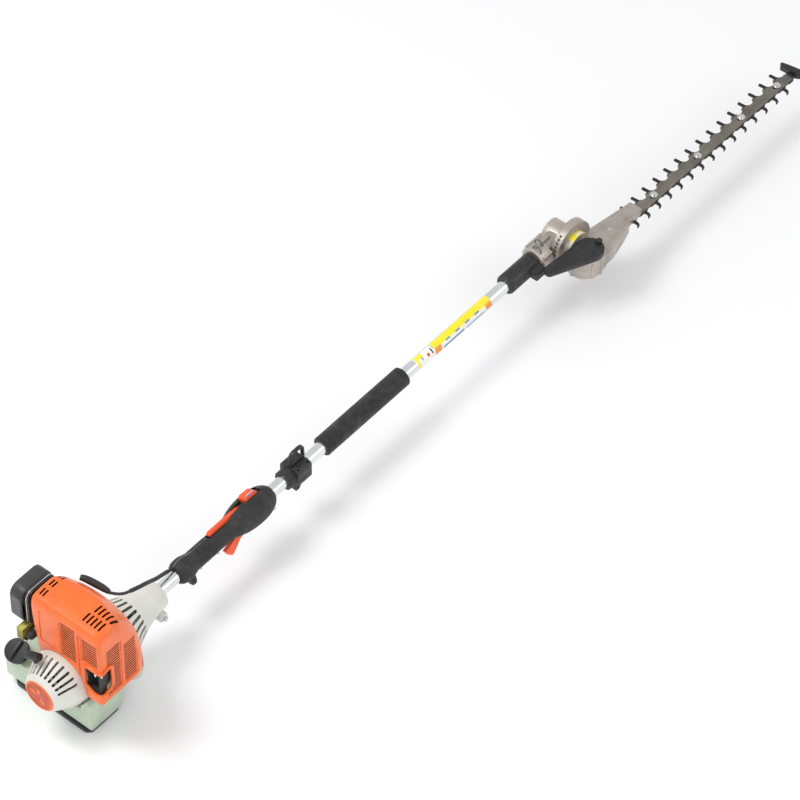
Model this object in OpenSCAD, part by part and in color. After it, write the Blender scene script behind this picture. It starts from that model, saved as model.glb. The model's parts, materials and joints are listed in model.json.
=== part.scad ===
// Pole hedge trimmer. +X runs forward along the shaft, +Y is to the left, +Z is up.
// The origin is on the flat underside of the tank stand, below the crankshaft.

/* [Stance] */
// Height of the shaft axis above the stand's underside
axis_h = 115; // [113:1:130]

/* [Shaft] */
// Outside diameter of the shaft tube
tube_d = 25.4; // [25:0.1:25.4]
// Wall of the shaft tube
tube_wall = 1.5; // [1.2:0.1:1.8]
// Rear end of the shaft tube
tube_x0 = 150; // [140:1:165]
// Front end of the shaft tube
tube_x1 = 1300; // [1296:1:1304]
// Radius of the drive shaft
drive_r = 4; // [3.5:0.1:4]
// Outside diameter of the foam grip
foam_d = 40; // [36:1:44]
// Rear end of the foam grip
foam_x0 = 656; // [640:1:670]
// Front end of the foam grip
foam_x1 = 886; // [860:1:900]

/* [Engine] */
// Radius of the starter cover
starter_r = 58; // [56:0.5:60]
// Radius of the round badge on the starter cover
badge_r = 31.5; // [28:0.5:32]
// Rear face of the starter cover
starter_x = -100; // [-104:1:-98]
// Wall of the plastic shroud
shroud_wall = 3; // [2:0.5:4]
// Radius of the fuel cap
cap_r = 23; // [18:0.5:24]
// Length of the air filter cover
filter_len = 80; // [70:1:84]

/* [Handle] */
// Angle by which the handle is turned on the tube towards the right
handle_roll = -20; // [-30:1:0]
// Radius of the handle's grip
grip_r = 19; // [18.5:0.5:20]

/* [Cutter] */
// Distance between neighbouring teeth
tooth_pitch = 33.5; // [33:0.5:34]
// Teeth on each side of a blade
tooth_count = 15; // [8:1:15]
// Half of the width over the tooth tips
tooth_reach = 29.5; // [26:0.5:30]
// Half of the width of a blade between its teeth
blade_half = 14.5; // [13:0.5:15]
// Distance of the blades' centre line to the right of the shaft axis
blade_y = -60; // [-60:1:-60]
// Angle between neighbouring index holes
index_step = 9; // [8:1:10]

/* [Hidden] */
$fn = 64;

tube_r = tube_d / 2;
fit = 0.05;                 // running clearance on the radius
seam = 0.05;                // half of the gap between the two halves of the handle
shroud_x0 = -42;
shroud_x1 = 70;
shroud_right = -95;
shroud_left = 67;
shroud_top = 174;
crown_z = 21;               // centre height of the shroud's rounded front
pivot_x = 1350;
quadrant_r = 50;
quadrant_y0 = -32;
quadrant_y1 = -14.4;
bolt_y = -22;
stroke = 7;
cylinder_x = 5;
reel_x = -75;
pull_angle = 61;            // angle of the starter rope from +Y towards +Z
cap_tilt = -30;
screw_x = [1425, 1562, 1699, 1836, 1950];

// ---- helpers: all heights are measured from the shaft axis ----
module at_axis() translate([0, 0, axis_h]) children();

module rod_x(x0, x1, r, y = 0, z = 0)
    translate([x0, y, z]) rotate([0, 90, 0]) cylinder(r = r, h = x1 - x0);

module rod_y(y0, y1, r, x = 0, z = 0)
    translate([x, y1, z]) rotate([90, 0, 0]) cylinder(r = r, h = y1 - y0);

module rod_z(z0, z1, r, x = 0, y = 0)
    translate([x, y, z0]) cylinder(r = r, h = z1 - z0);

module box(x0, x1, y0, y1, z0, z1)
    translate([x0, y0, z0]) cube([x1 - x0, y1 - y0, z1 - z0]);

// a body turned about the X direction from points [x, radius]
module turned(points, z = 0)
    translate([0, 0, z]) rotate([0, 90, 0]) rotate_extrude($fn = 96)
        polygon([for (p = points) [p[1], p[0]]]);

// outlines drawn in [y, z], [x, z] and [x, y]
module prism_x(x0, x1) translate([x0, 0, 0]) rotate([90, 0, 90]) linear_extrude(x1 - x0) children();
module prism_y(y0, y1) translate([0, y1, 0]) rotate([90, 0, 0]) linear_extrude(y1 - y0) children();
module prism_z(z0, z1) translate([0, 0, z0]) linear_extrude(z1 - z0) children();

function arc(cx, cy, r, a0, a1, n = 6) =
    [for (i = [0:n]) [cx + r * cos(a0 + (a1 - a0) * i / n), cy + r * sin(a0 + (a1 - a0) * i / n)]];

function rounded(x0, x1, y0, y1, r) = concat(
    arc(x0 + r, y0 + r, r, 180, 270), arc(x1 - r, y0 + r, r, 270, 360),
    arc(x1 - r, y1 - r, r, 0, 90), arc(x0 + r, y1 - r, r, 90, 180));

module slot_2d(x, y, half_length, half_width) {
    translate([x - half_length + half_width, y]) circle(half_width);
    translate([x + half_length - half_width, y]) circle(half_width);
    translate([x - half_length + half_width, y - half_width])
        square([2 * (half_length - half_width), 2 * half_width]);
}

module in_handle() translate([0, 0, axis_h]) rotate([handle_roll, 0, 0]) children();

// ---- engine block ----
module crankcase() color("silver") at_axis() difference() {
    union() {
        rod_x(-38, -34, 60);
        rod_x(-34, 40, 42);
        rod_x(40, 62, 36);
        box(-28, 38, -34, 34, 20, 50);
        difference() {
            rod_x(58, 62, 84);
            box(50, 70, 40.4, 100, -100, 100);
            box(50, 70, -100, 100, -100, -62);
        }
        box(-25, 30, -18, -8, -62, -38);
        box(-25, 30, 8, 18, -62, -38);
    }
    rod_x(-18, 28, 34);
    rod_x(-40, 70, 7.5 + fit);
    box(-40, 57.9, 40.4, 100, -9.5, 100);
    rod_z(0, 60, 22, cylinder_x, 0);
}

module cylinder_barrel() color("gainsboro") at_axis() difference() {
    union() {
        rod_z(50, 132, 24, cylinder_x, 0);
        box(-28, 38, -33, 33, 50, 55);
        for (i = [0:9])
            prism_z(61 + 7 * i, 64 + 7 * i) polygon(rounded(-30, 36, -38, 37, 10));
        box(-12, 22, -42, -20, 72, 104);
    }
    rod_z(40, 126, 18 + fit, cylinder_x, 0);
    rod_z(120, 140, 5, cylinder_x, 0);
}

module spark_plug() color("white") at_axis() {
    rod_z(126, 132, 5, cylinder_x, 0);
    rod_z(132, 137, 9, cylinder_x, 0);
    rod_z(137, 146, 4.5, cylinder_x, 0);
}

module plug_boot() color("dimgray") at_axis() difference() {
    union() {
        rod_z(138, 156, 8, cylinder_x, 0);
        rod_y(0, 22, 5, cylinder_x, 150);
    }
    rod_z(137, 146, 4.5, cylinder_x, 0);
}

module ignition_module() color("black") at_axis() {
    box(62, 76, -14, 14, 58.5, 66);
    box(62, 72, -8, 8, 66, 74);
}

module muffler() color("gray") at_axis() difference() {
    prism_x(-22, 50) polygon(rounded(-88, -42, 22, 116, 10));
    prism_x(-19, 47) polygon(rounded(-85, -45, 25, 113, 8));
    rod_x(-23, -18, 9, -72, 48);
}

module exhaust_deflector() color("black") at_axis() difference() {
    box(-38.5, -23, -91.5, -60.6, 18, 84);
    box(-39, -26, -88, -63.5, 24, 78);
    rod_x(-27, -22, 9, -72, 48);
}

module piston() color("silver") at_axis() {
    difference() {
        rod_z(62, 84, 18, cylinder_x, 0);
        rod_z(60, 78, 14.5, cylinder_x, 0);
    }
    box(cylinder_x - 14.5, cylinder_x + 14.5, -3.5, 3.5, 66, 74);
    difference() {
        union() {
            box(cylinder_x - 4, cylinder_x + 4, -6, 6, -6, 78);
            rod_x(cylinder_x - 4, cylinder_x + 4, 11, 0, -12);
        }
        rod_x(cylinder_x - 5, cylinder_x + 5, 5.5, 0, -12);
    }
}

module crankshaft() color("lightsteelblue") at_axis() {
    rod_x(-50, -6, 7.5);
    rod_x(16, 92, 7.5);
    rod_x(-14, -2, 28);
    rod_x(12, 24, 28);
    rod_x(-58, -50, 12);
}

module flywheel() color("darkgray") at_axis() difference() {
    union() {
        rod_x(66, 72, 56);
        rod_x(66, 84, 16);
        for (i = [0:11])
            rotate([30 * i, 0, 0]) box(72, 80, -1.2, 1.2, 20, 55);
    }
    rod_x(60, 92, 7.5);
}

module clutch_shoes() color("dimgray") at_axis() difference() {
    rod_x(88, 100, 26);
    rod_x(86, 102, 7.5);
    for (a = [20, 200]) rotate([a, 0, 0]) box(86, 102, -1.5, 1.5, 9, 30);
    for (a = [110, 290]) rotate([a, 0, 0]) rod_x(86, 102, 3, 0, 18);
}

// ---- starter ----
module starter_cover() color("gainsboro") at_axis() difference() {
    union() {
        difference() {
            turned([[starter_x, 0], [starter_x, 33.5], [starter_x + 3, 36], [-78, 46.6], [-62, 54.8],
                [-50, starter_r], [-38, starter_r], [-38, 0]]);
            turned([[starter_x + 3, 0], [starter_x + 3, 33], [-77, 43.8], [-61, 52.1],
                [-49, starter_r - 2.8], [-37, starter_r - 2.8], [-37, 0]]);
        }
        rod_x(starter_x + 2, -66, 5);
    }
    for (a = [-66:13.5:150])
        rotate([a - 90, 0, 0]) box(-90, -52, -2.4, 2.4, 30, 70);
    rotate([pull_angle - 90, 0, 0]) rod_z(40, 60, 3.2, reel_x, 0);
}

module starter_badge() color("orangered") at_axis()
    turned([[starter_x, 0], [starter_x, badge_r], [starter_x - 1.2, badge_r - 1.5],
        [starter_x - 2, badge_r - 8], [starter_x - 2, 0]]);

spiral_turns = 5;
spiral_steps = 100;
function spiral(r0, gap, side) = [for (i = [0:spiral_steps])
    let (a = 360 * spiral_turns * i / spiral_steps, r = r0 + gap * i / spiral_steps + side)
    [r * cos(a), r * sin(a)]];

module recoil_spring() color("slategray") at_axis() prism_x(-93, -86)
    polygon(concat(spiral(8, 18, 0), [for (i = [0:spiral_steps]) spiral(8, 18, 0.8)[spiral_steps - i]]));

module starter_pulley() color("dimgray") at_axis() difference() {
    turned([[-82, 0], [-82, 32], [-79, 32], [-79, 22], [-71, 22], [-71, 32], [-68, 32], [-68, 0]]);
    rod_x(-84, -66, 5 + fit);
    rod_x(-69.5, -60, 14);
}

module starter_rope() color("white") at_axis()
    turned([[-78.5, 22.1], [-78.5, 28], [-71.5, 28], [-71.5, 22.1]]);

module rope_lead() color("white") at_axis() rotate([pull_angle - 90, 0, 0])
    rod_z(47.5, 56, 1.6, reel_x, 0);

module starter_grip() color("black") at_axis() rotate([pull_angle - 90, 0, 0]) {
    rod_z(56, 66, 5, reel_x, 0);
    rod_y(-18, 18, 7.5, reel_x, 70);
}

// ---- shroud ----
function shroud_back(t) = concat(
    [[shroud_right + t, t > 0 ? -20 : -8]],
    arc(shroud_right + 22, shroud_top - 22, 22 - t, 180, 90),
    arc(shroud_left - 14, shroud_top - 13, 14 - t, 90, 0),
    [[shroud_left - t, 118], [58 - t, 60], [53 - t, 24], [44 - t, 4], [44 - t, t > 0 ? -20 : -8]]);

function shroud_side(t) = [[shroud_x0 + t, -30], [shroud_x0 + t, 160 - t / 2], [-35 + t / 2, 170 - t],
    [-12, 175 - t], [12, 177 - t], [34, 173 - t], [52, 161 - t], [64, 145 - t],
    [shroud_x1 - t, 131 - t], [shroud_x1 - t, -30]];

module shroud_solid(t) intersection() {
    prism_x(-60, 80) polygon(shroud_back(t));
    prism_y(-120, 90) polygon(shroud_side(t));
    turned([[-60, 0], [-60, 190 - t], [-10, 182 - t], [20, 164 - t], [40, 145 - t], [58, 122 - t],
        [shroud_x1 + 4, 96 - t], [shroud_x1 + 4, 0]], crown_z);
}

module engine_shroud() color("orangered") at_axis() difference() {
    shroud_solid(0);
    shroud_solid(shroud_wall);
    rod_x(-60, -20, starter_r + 1);
    rod_x(60, 80, 88);
    box(-32, 32, 50, 80, 40, 112);
    // rear louvres, left and right of the groove
    for (i = [0:12]) box(-60, -30, -38, -3, 69 + 6.4 * i, 72 + 6.4 * i);
    for (i = [0:8]) box(-60, -30, -89, -54, 92 + 6.4 * i, 95 + 6.4 * i);
    // side louvres in two columns
    for (i = [0:16]) box(-22, 12, -110, -84, 8 + 6.6 * i, 11 + 6.6 * i);
    for (i = [0:14]) box(18, 50, -110, -74, 6 + 6.6 * i, 9 + 6.6 * i);
    // exhaust window round the rear right corner
    box(-60, -12, -110, -56, 20, 82);
    // top vents
    for (i = [0:4], j = [0:1])
        box(-24 + 24 * j, -4 + 24 * j, -44 - 9 * i - 4 * j, -40 - 9 * i - 4 * j, 110, 190);
    for (j = [0:2]) box(-26 + 20 * j, -12 + 20 * j, 44, 58, 120, 190);
}

module clutch_housing() color("whitesmoke") at_axis() difference() {
    union() {
        turned([[62, 0], [62, 87.5], [70.1, 87.5], [70.1, 93], [73, 92], [85, 71], [100, 58.5], [127, 46], [145, 39.5],
            [162, 35], [178, 32.5], [192, 31], [203, 29.5], [206, 27], [206, 0]]);
        box(180, 198, -33, 10, -37, -22);
    }
    turned([[60, 0], [60, 84.5], [70, 84.5], [84, 68], [100, 55], [127, 43], [145, 36], [150, 30], [150, 0]]);
    rod_x(140, 220, tube_r + fit);
    box(150, 220, -1.5, 1.5, -40, 0);
    for (a = [-120:15:120])
        rotate([a, 0, 0]) box(92, 130, -2.9, 2.9, 30, 80);
    box(50, 100, 62, 120, -100, 120);
    box(50, 100, -120, 120, -110, -70);
    rod_y(-40, 12, 2.6, 189, -30);
}

module clutch_drum() color("slategray") at_axis() {
    difference() {
        rod_x(86, 108, 30);
        rod_x(85, 104, 27.6);
    }
    difference() {
        rod_x(108, 134, 9);
        rod_x(112, 140, drive_r);
    }
}

module drive_shaft() color("silver") at_axis() rod_x(112, 1336, drive_r);

module shaft_bushes() color("dimgray") at_axis() for (x = [200:240:1160]) difference() {
    rod_x(x, x + 20, tube_r - tube_wall);
    rod_x(x - 1, x + 21, drive_r + fit);
}

// ---- fuel tank and stand ----
module tank_outline() polygon(concat([[-64, -106], [-66, -34], [-60, -26], [-47, -26], [-45, -52]],
    arc(0, 0, 66, 234, 250, 4), arc(0, 0, 66, 290, 306, 4), [[60, -54], [92, -46]], arc(120, -60, 16, 80, 0),
    arc(118, -90, 18, 0, -90)));

module fuel_tank() color("honeydew") at_axis() {
    difference() {
        intersection() {
            prism_x(-46, 42) tank_outline();
            prism_y(-90, 150) polygon(rounded(-46, 42, -108, -20, 16));
        }
        prism_x(-36, 36) polygon(rounded(70, 130, -100, -60, 12));
        rod_x(-50, 46, 62.4);
    }
    translate([-24, 116, -50]) rotate([0, cap_tilt, 0]) cylinder(r = 19, h = 16.7);
}

module fuel_cap() color("black") at_axis() translate([-24, 116, -50]) rotate([0, cap_tilt, 0]) {
    translate([0, 0, 17]) cylinder(r = cap_r, h = 13);
    translate([-cap_r + 3, -3.5, 30]) cube([2 * cap_r - 6, 7, 7]);
}

module tank_stand() color("dimgray") at_axis() difference() {
    prism_z(-axis_h, -108) polygon(rounded(-46, 40, -62, 122, 14));
    for (y = [-50, 8, 66]) prism_z(-axis_h - 1, -axis_h + 3) polygon(rounded(-36, 30, y, y + 44, 6));
}

// ---- intake side ----
module intake_flange() color("dimgray") at_axis() difference() {
    rod_y(37, 58, 16, cylinder_x, 84);
    rod_y(36, 61, 10, cylinder_x, 84);
}

module carburettor() color("darkkhaki") at_axis() difference() {
    union() {
        box(-26, 26, 58, 76, 50, 96);
        rod_z(40, 50, 13, -8, 68);
        rod_x(-38, -26, 7, 68, 62);
        box(-8, 10, 70, 95, 46, 71.4);
        box(-52, 10, 81, 95, 44, 71.4);
    }
    rod_y(55, 80, 10, cylinder_x, 84);
}

module primer_bulb() color("gray") at_axis() translate([-44, 68, 62]) rotate([0, 90, 0]) {
    difference() {
        cylinder(r = 8.4, h = 9);
        translate([0, 0, 1]) cylinder(r = 7 + fit, h = 9);
    }
    intersection() {
        sphere(8.4);
        translate([-10, -10, -10]) cube([20, 20, 10]);
    }
}

module choke_lever() color("black") at_axis() {
    rod_y(76.9, 80.2, 6, -18, 58);
    prism_y(76.9, 80.2) polygon([[-46, 40], [-22, 54], [-24, 62], [-50, 46]]);
}

module filter_base() color("black") at_axis() difference() {
    prism_y(76.5, 88) polygon(rounded(-36, 34, 72, 156, 16));
    rod_y(75, 80, 10, cylinder_x, 84);
    prism_y(79, 89) polygon(rounded(-32, 30, 76, 152, 13));
}

module filter_element() color("wheat") at_axis() prism_y(79, 106)
    polygon(rounded(-26, 24, 98, 148, 8));

module filter_cover() color("darkslategray") at_axis() difference() {
    prism_y(88.1, 116) polygon(rounded(-42, -42 + filter_len, 72, 156, 20));
    prism_y(87, 112) polygon(rounded(-38, -46 + filter_len, 76, 152, 16));
}

module cable_boot() color("black") at_axis() hull() {
    translate([60.5, 30, 153.5]) sphere(7, $fn = 24);
    translate([72, -12, 140]) sphere(7, $fn = 24);
}

module clamp_screw() color("gray") at_axis() {
    rod_y(-38, -33, 5, 189, -30);
    rod_y(-33, 8, 2.6, 189, -30);
}

// ---- shaft and handle ----
module shaft_tube() color("silver") at_axis() difference() {
    union() {
        rod_x(tube_x0, tube_x1, tube_r);
        rod_x(1213, 1216, 16.2);
    }
    rod_x(tube_x0 - 1, tube_x1 + 1, tube_r - tube_wall);
}

module handle_solid() {
    turned([[256, 0], [256, 15], [260, 20.5], [268, 23.5], [282, 23.5], [294, 20.5], [304, grip_r],
        [395, grip_r], [412, 24],
        [436, 30], [462, 32], [488, 30], [504, 24], [512, 18], [512, 0]]);
    prism_x(283, 291) polygon([[-13, 0], [-11, -33], [-6, -41], [6, -41], [11, -33], [13, 0]]);
}

module handle_shell() difference() {
    handle_solid();
    rod_x(240, 520, tube_r + fit);
    box(366, 440, -5.2, 5.2, -60, -13);
    box(348, 450, -5.2, 5.2, 13, 40);
    box(446, 489, -10.1, 10.1, 22.6, 40);
    rod_x(250, 278, 3.2, 0, 15.8);
    for (x = [306, 352, 494]) rod_y(-40, 40, 2, x, -15.5);
}

module handle_left() color("dimgray") in_handle() difference() {
    handle_shell();
    box(200, 560, -60, seam, -60, 60);
}

module handle_right() color("dimgray") in_handle() {
    difference() {
        handle_shell();
        box(200, 560, -seam, 60, -60, 60);
    }
    rod_y(-7, 5, 1.45, 432, -20);
    rod_y(-7, 5, 1.45, 440, 18);
}

module handle_screws() color("gray") in_handle()
    for (x = [306, 352, 494]) rod_y(-10.5, 10.5, 2, x, -15.5);

module throttle_trigger() color("orangered") in_handle() difference() {
    prism_y(-4.4, 4.4) polygon([[436, -16], [428, -15.6], [374, -32], [378, -42], [386, -49],
        [392, -47], [414, -32], [438, -26]]);
    rod_y(-6, 6, 1.5, 432, -20);
}

module lockout_lever() color("orangered") in_handle() difference() {
    prism_y(-4.4, 4.4) polygon([[352, 19.5], [352, 23], [358, 25.5], [430, 25.5], [444, 21],
        [446, 16], [438, 15], [434, 19]]);
    rod_y(-6, 6, 1.5, 440, 18);
}

module stop_switch() color("orangered") in_handle()
    prism_y(-9.7, 9.7) polygon([[449, 23], [449, 33.5], [453, 36.5], [475, 35.5], [480, 32], [480, 23]]);

// the throttle cable leaves the boot, sags over the cone and enters the handle's rear end
cable_path = [[69, -10, 138.5], [79, -16, 130], [91, -19, 119], [105, -20, 108.5], [120, -19, 99.5],
    [136, -18, 91], [152, -16, 82], [168, -13, 72], [184, -10, 61.5], [199, -7, 51], [214, -3, 41],
    [229, 1, 31.5], [243, 4.5, 22.5], [256, 5.5, 16.2], [266, 5.4, 14.8], [276, 5.4, 14.8]];
cable_r = 2.9;
cable_sides = 8;
cable_start = 0.64;         // first point of the swept cable, counted along the route

function path_at(s) = let (i = min(floor(s), len(cable_path) - 2), f = s - i,
    p0 = cable_path[max(i - 1, 0)], p1 = cable_path[i], p2 = cable_path[i + 1],
    p3 = cable_path[min(i + 2, len(cable_path) - 1)])
    0.5 * ((2 * p1) + (p2 - p0) * f + (2 * p0 - 5 * p1 + 4 * p2 - p3) * f * f
        + (3 * p1 - p0 - 3 * p2 + p3) * f * f * f);
function unit(v) = v / norm(v);

module throttle_cable() color("black") at_axis() {
    rings = 34;
    last = len(cable_path) - 1;
    centres = [for (k = [0:rings]) path_at(cable_start + (last - cable_start) * k / rings)];
    points = [for (k = [0:rings])
        let (t = unit(centres[min(k + 1, rings)] - centres[max(k - 1, 0)]),
            u = unit(cross(t, [0, 1, 0])), v = cross(t, u))
        for (j = [0:cable_sides - 1])
            centres[k] + cable_r * (cos(360 * j / cable_sides) * u + sin(360 * j / cable_sides) * v)];
    sides = [for (k = [0:rings - 1], j = [0:cable_sides - 1])
        let (n = (j + 1) % cable_sides)
        [k * cable_sides + j, k * cable_sides + n, (k + 1) * cable_sides + n, (k + 1) * cable_sides + j]];
    ends = [[for (j = [0:cable_sides - 1]) cable_sides - 1 - j],
        [for (j = [0:cable_sides - 1]) rings * cable_sides + j]];
    polyhedron(points, concat(sides, ends));
}

module ring_clamp() color("dimgray") at_axis() difference() {
    union() {
        rod_x(549, 606, 19.5);
        prism_x(566, 604) polygon(rounded(-22, 22, -20, 24, 9));
        rod_y(-14, 14, 8, 574, -28);
        box(566, 582, -14, 14, -28, -14);
    }
    rod_x(540, 610, tube_r + fit);
    box(540, 612, -60, 60, -0.6, 0.6);
    rod_y(-20, 20, 3, 574, -28);
    for (x = [572, 598], y = [-17, 17]) rod_z(-30, 30, 2, x, y);
}

module carrying_ring() color("black") at_axis() difference() {
    prism_y(-4, 4) polygon(concat([[566, 24.1]], arc(579, 46, 10, 170, 90), arc(595, 46, 10, 90, 10),
        [[606, 24.1]]));
    prism_y(-8, 8) polygon(concat([[570, 27.6]], arc(580.5, 45.5, 7, 170, 90), arc(593.5, 45.5, 7, 90, 10),
        [[602, 27.6]]));
}

module foam_grip() color("black") at_axis() difference() {
    rod_x(foam_x0, foam_x1, foam_d / 2);
    rod_x(foam_x0 - 1, foam_x1 + 1, tube_r);
}

// ---- gearhead, still on the tube ----
module lock_sleeve() color("black") at_axis() difference() {
    union() {
        turned([[1184, 0], [1184, 19], [1187, 20.5], [1262, 20.5], [1264, 19.5], [1264, 0]]);
        prism_x(1238, 1264) polygon(rounded(-36, -14, -9, 9, 4));
    }
    rod_x(1180, 1270, tube_r + fit);
    rod_x(1197, 1258, 16.5);
    rod_x(1246, 1270, 3, bolt_y - 2, 0);
}

module lock_bolt() color("silver") at_axis() {
    rod_x(1246, 1299.5, 3, bolt_y - 2, 0);
}

module lock_spring() color("slategray") at_axis() for (x = [1217:5:1257]) difference() {
    rod_x(x, x + 1, 15.6);
    rod_x(x - 1, x + 3, 13.4);
}

module gear_housing() color("silver") at_axis() difference() {
    union() {
        turned([[1267, 0], [1267, 24], [1270, 28], [1296, 28], [1296, 0]]);
        intersection() {
            rod_x(1296, 1332, 25);
            box(1290, 1340, -14, 30, -40, 40);
        }
        rod_y(-14, 26, 28, pivot_x, 0);
        rod_y(26, 31, 18, pivot_x, 0);
        rod_y(-30, -14, 12, pivot_x, 0);
        for (a = [40, 90, 140]) rotate([a - 90, 0, 0]) box(1272, a == 140 ? 1297 : 1318, -1.5, 1.5, 20, 31);
    }
    rod_x(1260, tube_x1, tube_r + fit);
    rod_x(1290, 1346, 13.5);
    rod_y(-8, 20, 22, pivot_x, 0);
    rod_y(-40, 24, 5 + fit, pivot_x, 0);
    rod_x(1260, 1300, 3 + fit, bolt_y - 2, 0);
}

module bevel_pinion() color("slategray") at_axis() difference() {
    turned([[1329, 0], [1329, 9], [1332, 12.9], [1338, 9.2], [1338, 0]]);
    rod_x(1320, 1336, drive_r);
}

module bevel_gear() color("slategray") at_axis() {
    translate([pivot_x, 0, 0]) rotate([-90, 0, 0]) rotate_extrude()
        polygon([[0, -50], [6, -50], [8, -47], [8, -42], [5, -42], [5, 9.6], [11, 9.6], [16, 13],
            [16, 17], [0, 17]]);
}

// ---- gearhead, tilting part ----
arm_outline = [[1352, -24], [1391, -29], [1484, -43], [1506, -46], [1506, -74], [1470, -76],
    [1434, -87], [1392, -97], [1352, -98]];

module swivel_housing() color("lightgray") at_axis() difference() {
    union() {
        rod_y(quadrant_y0, quadrant_y1, quadrant_r, pivot_x, 0);
        rod_y(-62, quadrant_y0, 32, pivot_x, 0);
        rod_z(-30, 9.8, 40, pivot_x, blade_y);
        rod_z(-38, -30, 36, pivot_x, blade_y);
        for (a = [0:30:330]) translate([pivot_x, blade_y, 0]) rotate([0, 0, a]) box(34, 41.5, -2, 2, -34, 2);
        prism_z(-12.5, 2) polygon(arm_outline);
        prism_z(-26, -12.4) difference() {
            polygon(arm_outline);
            polygon([[1340, -34], [1391, -38], [1484, -47], [1520, -47], [1520, -76], [1462, -76],
                [1434, -82], [1391, -91], [1340, -90]]);
        }
    }
    box(1462, 1520, -110, -20, -30, -12.5);
    rod_y(-32, -10, 12 + fit, pivot_x, 0);
    rod_y(-70, -10, 5 + fit, pivot_x, 0);
    rod_y(-74, -40, 8.5, pivot_x, 0);
    box(1310, 1390, -70, -44.4, 9.8, 40);
    rod_z(-32, -4, 34, pivot_x, blade_y);
    rod_z(-36.5, -30, 4 + fit, pivot_x, blade_y);
    box(pivot_x, 1400, blade_y - 16, blade_y + 16, -24.5, -12.5);
    for (i = [-10:6]) translate([pivot_x, 0, 0]) rotate([0, index_step * i, 0])
        rod_x(-quadrant_r - 1, -quadrant_r + 6, 2.7, bolt_y - 2, 0);
    rod_z(-13, 3, 3, screw_x[0], blade_y);
}

module eccentric_gear() color("slategray") at_axis() translate([pivot_x, blade_y, 0]) {
    rod_z(-36, -8.5, 4);
    translate([0, 0, -12.6]) cylinder(r1 = 18, r2 = 16.4, h = 4.1);
    translate([0, 0, -15.7]) translate([stroke, 0, 0]) cylinder(r = 7.5, h = 1.8);
    translate([0, 0, -18.1]) translate([-stroke, 0, 0]) cylinder(r = 7.5, h = 1.8);
    rod_z(-30, -26, 10);
}

module adjusting_lever() color("black") at_axis() {
    difference() {
        prism_z(10, 21.4) union() {
            translate([1348, -74]) circle(27);
            translate([1256, -50]) circle(10);
            polygon([[1337, -98.6], [1354, -47.7], [1258.6, -40.3], [1252.4, -59.3]]);
        }
        rod_z(7, 24, 4, 1348, -62);
    }
}

// ---- cutter bar ----
module slots(half_width) for (x = screw_x) slot_2d(x, blade_y, 3.3 + stroke + 0.5, half_width);

// a straight finger on the left, and one whose tip turns back on the right
module left_tooth() polygon([[2.4, blade_half - 6], [2.2, blade_half + 4], [1.2, tooth_reach],
    [-3.4, tooth_reach], [-2.8, blade_half + 4], [-7, blade_half - 6]]);

module right_tooth() polygon([[2.6, 6 - blade_half], [-8, 6 - blade_half], [-2.6, -blade_half - 2],
    [-3.6, 4 - tooth_reach], [-8.4, 2 - tooth_reach], [-7, -tooth_reach], [-1, 1.5 - tooth_reach],
    [2, 7 - tooth_reach]]);

module blade_outline() difference() {
    union() {
        translate([1398, blade_y - 13]) square([90, 26]);
        translate([1480, blade_y - blade_half]) square([505, 2 * blade_half]);
        for (i = [0:tooth_count - 1]) {
            translate([1497 + tooth_pitch * i, blade_y]) left_tooth();
            translate([1484 + tooth_pitch * i, blade_y]) right_tooth();
        }
        translate([1366, blade_y - 10]) square([40, 20]);
        polygon(rounded(pivot_x - 25, pivot_x + 25, blade_y - 19, blade_y + 19, 12));
    }
    polygon(rounded(pivot_x - 22, pivot_x + 22, blade_y - 15, blade_y + 15, 7));
    slots(3.2);
    // gullets between the teeth
    for (i = [0:tooth_count - 1]) {
        translate([1510 + tooth_pitch * i, blade_y + blade_half + 3.6]) circle(10.6);
        translate([1498 + tooth_pitch * i, blade_y - blade_half - 8]) circle(10.5);
    }
}

module upper_blade() color("dimgray") at_axis() prism_z(-15.8, -13.8) blade_outline();
module lower_blade() color("gray") at_axis() prism_z(-18, -16) blade_outline();

module guide_bar() color("darkgray") at_axis() difference() {
    prism_z(-23, -18.2) polygon(rounded(1400, 2000, blade_y - 9, blade_y + 9, 4));
    for (x = screw_x) rod_z(-30, -10, 3, x, blade_y);
}

module bar_screws() color("silver") at_axis() {
    for (x = screw_x) {
        rod_z(-23, -13.6, 3, x, blade_y);
        rod_z(-27, -23, 5.5, x, blade_y);
        if (x > 1500) {
            rod_z(-13.6, -12.2, 8, x, blade_y);
            rod_z(-12.2, -9, 5, x, blade_y);
        } else rod_z(-13.6, 2, 3, x, blade_y);
    }
}

module tip_guard() color("black") at_axis() difference() {
    prism_z(-26, -10) polygon([[1999, -51], [1999, -31], [2002, -29], [2006, -31], [2010, -50],
        [2013, -70], [2012, -80], [2007, -82], [2002, -74], [1999, -69]]);
    box(1995, 2000.1, blade_y - 9.2, blade_y + 9.2, -23.1, -18.1);
}

crankcase();
cylinder_barrel();
spark_plug();
plug_boot();
ignition_module();
muffler();
exhaust_deflector();
engine_shroud();
starter_cover();
starter_badge();
recoil_spring();
clutch_housing();
fuel_tank();
tank_stand();
intake_flange();
carburettor();
filter_base();
filter_element();
filter_cover();
clamp_screw();
crankshaft();
flywheel();
clutch_shoes();
piston();
starter_pulley();
starter_rope();
rope_lead();
starter_grip();
fuel_cap();
choke_lever();
primer_bulb();
clutch_drum();
drive_shaft();
shaft_bushes();
bevel_pinion();
bevel_gear();
eccentric_gear();
shaft_tube();
handle_left();
handle_right();
handle_screws();
throttle_trigger();
lockout_lever();
stop_switch();
throttle_cable();
cable_boot();
ring_clamp();
carrying_ring();
foam_grip();
lock_sleeve();
lock_bolt();
lock_spring();
gear_housing();
swivel_housing();
adjusting_lever();
guide_bar();
upper_blade();
lower_blade();
bar_screws();
tip_guard();
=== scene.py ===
import json
import math
import bpy
import bmesh
import numpy as np
from mathutils import Matrix, Vector


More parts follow.
